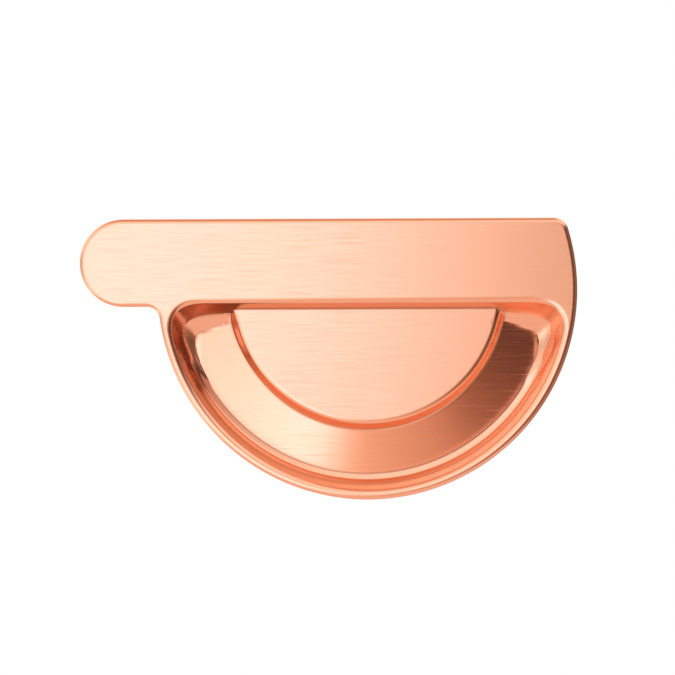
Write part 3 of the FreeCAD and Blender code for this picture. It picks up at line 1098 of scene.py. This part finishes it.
@dataclass
class EndCap:
    """The end cap: one sheet of copper, pressed and flanged."""

    sizes: CapSizes
    finish: BrightCopper
    crease: float = 40.0
    cut_edge: float = 0.08
    cut_segments: int = 2
    touch: float = 0.001

    def build(self) -> Object:
        """Presses the blank, gives it its thickness and puts it in the place of the CAD node.

        Returns:
            The finished piece.
        """
        material = self.finish.material()
        cap = Blank(self.sizes).build("pressed_cap")
        tool = PressTool(self.sizes)
        tool.build(material)
        tool.apply(cap)
        sheet = cap.modifiers.new("sheet", "SOLIDIFY")
        sheet.thickness = self.sizes.sheet * MM
        sheet.offset = -1.0
        sheet.use_even_offset = True
        graph = bpy.context.evaluated_depsgraph_get()
        mesh = bpy.data.meshes.new_from_object(cap.evaluated_get(graph), depsgraph=graph)
        cap.modifiers.clear()
        cap.data = mesh
        for attribute in ("edge_in", "flange"):
            mesh.attributes.remove(mesh.attributes[attribute])
        self.ease_cut_edge(mesh)
        mesh.polygons.foreach_set("use_smooth", np.ones(len(mesh.polygons), bool))
        mesh.set_sharp_from_angle(angle=math.radians(self.crease))
        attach(cap, "root")
        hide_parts("end_cap")
        return cap

    def ease_cut_edge(self, mesh: Mesh) -> None:
        """Takes the sharpness off both edges of the cut end of the flange.

        Args:
            mesh: The pressed sheet.
        """
        sheet = bmesh.new()
        sheet.from_mesh(mesh)
        end = (self.sizes.flange_depth - self.touch) * MM
        rim = [face for face in sheet.faces if all(point.co.y > end for point in face.verts)]
        inside = set(rim)
        edges = {edge for face in rim for edge in face.edges if not inside.issuperset(edge.link_faces)}
        bmesh.ops.bevel(sheet, geom=list(edges), offset=self.cut_edge * MM, segments=self.cut_segments,
                        profile=0.5, affect="EDGES")
        sheet.to_mesh(mesh)
        sheet.free()


@dataclass
class Studio:
    """Pale floor, soft light from the left and the camera of the photograph.

    The front is the place of the cap's front plane along Y, in metres.
    """

    front: float
    frame_width: float = 132.8
    look_at: Pair = (-5.9, -9.4)
    camera_distance: float = 500.0
    roll: float = 0.23
    floor_height: float = -300.0
    floor_half: float = 260.0
    card: PaleCard = PaleCard()
    strength: float = 2.5
    lower_shift: float = 0.25
    right_shift: float = 0.3
    ceiling_from: float = 0.08
    ceiling_to: float = 0.40
    lower_from: float = -0.12
    lower_to: float = -0.45
    lower_glow: Colour = (0.20, 0.10, 0.06)
    dusk_from: float = -0.50
    dusk_to: float = -0.72
    dusk: Colour = (1.00, 0.77, 0.69)
    lamp_height: float = 600.0
    lamp_size: float = 900.0
    lamp_power: float = 5.0
    walls: Stops = (
        (-1.00, (0.75, 0.75, 0.75)),
        (-0.75, (1.00, 1.00, 1.00)),
        (-0.50, (1.40, 1.40, 1.48)),
        (-0.20, (1.60, 1.62, 1.85)),
        (-0.10, (1.74, 1.80, 2.18)),
        (0.00, (1.58, 1.68, 1.98)),
        (0.03, (1.20, 1.22, 1.26)),
        (0.065, (1.05, 0.95, 0.87)),
        (0.10, (0.78, 0.57, 0.44)),
        (0.20, (0.73, 0.51, 0.41)),
        (0.36, (0.58, 0.34, 0.28)),
        (0.45, (0.22, 0.10, 0.08)),
        (0.52, (0.13, 0.06, 0.05)),
        (0.70, (0.12, 0.06, 0.05)),
        (1.00, (0.30, 0.22, 0.20)),
    )
    ceiling: Stops = (
        (0.00, (1.20, 1.15, 1.10)),
        (0.60, (1.25, 1.20, 1.15)),
        (0.80, (1.10, 0.95, 0.85)),
        (0.92, (0.80, 0.50, 0.38)),
        (1.00, (0.75, 0.45, 0.34)),
    )

    def build(self) -> None:
        """Makes the floor, the light and the camera."""
        self.floor()
        self.light()
        self.lamp()
        self.camera()

    def floor(self) -> None:
        """A plain pale floor, well below the part and not reflected in it."""
        half, height = self.floor_half * MM, self.floor_height * MM
        mesh = bpy.data.meshes.new("floor")
        plan = ((-half, -half), (half, -half), (half, half), (-half, half))
        mesh.from_pydata([(x, y, height) for x, y in plan], [], [(0, 1, 2, 3)])
        floor = add_object("floor", mesh)
        mesh.materials.append(self.card.material())
        floor.visible_glossy = False

    def light(self) -> None:
        """A studio that is bright on the left, dim and warm on the right, and white to the camera."""
        world = bpy.data.worlds.new("studio")
        world.use_nodes = True
        bpy.context.scene.world = world
        tree = world.node_tree
        tree.nodes.clear()
        place = add_node(tree, "ShaderNodeTexCoord", {})
        way = add_node(tree, "ShaderNodeSeparateXYZ", {0: place.outputs["Generated"]})
        across = Field(tree, way.outputs["X"])
        upward = Field(tree, way.outputs["Z"])
        sideways = self.ramp(across - upward.least(0.0) * self.lower_shift, self.walls)
        height = upward - across.most(0.0) * self.right_shift
        overhead = self.ramp(height, self.ceiling)
        room = mix_colours(height.ease(self.ceiling_from, self.ceiling_to).socket, sideways, overhead)
        low = upward.ease(self.lower_from, self.lower_to).socket
        glow = mix_colours(low, room, self.dimmed(self.lower_glow), Blend.ADD)
        lowest = upward.ease(self.dusk_from, self.dusk_to).socket
        shade = mix_colours(lowest, glow, self.dimmed(self.dusk))
        studio = add_node(tree, "ShaderNodeBackground", {"Color": shade, "Strength": self.strength})
        backdrop = add_node(tree, "ShaderNodeBackground", {"Color": (1, 1, 1, 1)})
        path = add_node(tree, "ShaderNodeLightPath", {})
        mix = add_node(tree, "ShaderNodeMixShader", {
            "Fac": path.outputs["Is Camera Ray"], 1: studio.outputs[0], 2: backdrop.outputs[0]})
        add_node(tree, "ShaderNodeOutputWorld", {"Surface": mix.outputs["Shader"]})
        bpy.context.scene.view_settings.view_transform = "Standard"

    def dimmed(self, colour: Colour) -> tuple[float, ...]:
        """A light's colour divided by the studio's strength, with its alpha."""
        return (*[part / self.strength for part in colour], 1)

    def ramp(self, field: Field, stops: Stops) -> NodeSocket:
        """Colours along a field that runs from -1 to 1.

        Args:
            field: The field.
            stops: Places on it, with the light's colour and strength at each.

        Returns:
            The socket that gives the colour, divided by the studio's strength.
        """
        node = field.tree.nodes.new("ShaderNodeValToRGB")
        elements = node.color_ramp.elements
        for place, _ in stops[1:-1]:
            elements.new((place + 1) / 2)
        for element, (place, colour) in zip(elements, stops):
            element.position = (place + 1) / 2
            element.color = self.dimmed(colour)
        field.tree.links.new((field * 0.5 + 0.5).socket, node.inputs["Fac"])
        return node.outputs["Color"]

    def lamp(self) -> None:
        """A soft lamp overhead that lights the floor, without a reflection of its own."""
        data = bpy.data.lights.new("floor_lamp", "AREA")
        data.size = self.lamp_size * MM
        data.energy = self.lamp_power
        lamp = add_object("floor_lamp", data)
        lamp.location = (0, 0, self.lamp_height * MM)
        lamp.visible_glossy = False
        lamp.visible_camera = False

    def camera(self) -> None:
        """A long lens, straight in front of the cap."""
        data = bpy.data.cameras.new("camera")
        data.lens = data.sensor_width * self.camera_distance / self.frame_width
        camera = add_object("camera", data)
        across, height = self.look_at
        camera.location = (across * MM, self.front - self.camera_distance * MM, height * MM)
        camera.rotation_euler = Euler((math.pi / 2, math.radians(self.roll), 0), "XYZ")
        bpy.context.scene.camera = camera


def main() -> None:
    """Builds the studio and the end cap."""
    low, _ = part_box("end_cap")
    Studio(low.y).build()
    cap = EndCap(CapSizes(), BrightCopper()).build()
    log.info("%s: %d points, %d faces", cap.name, len(cap.data.vertices), len(cap.data.polygons))


if __name__ == "__main__":
    main()
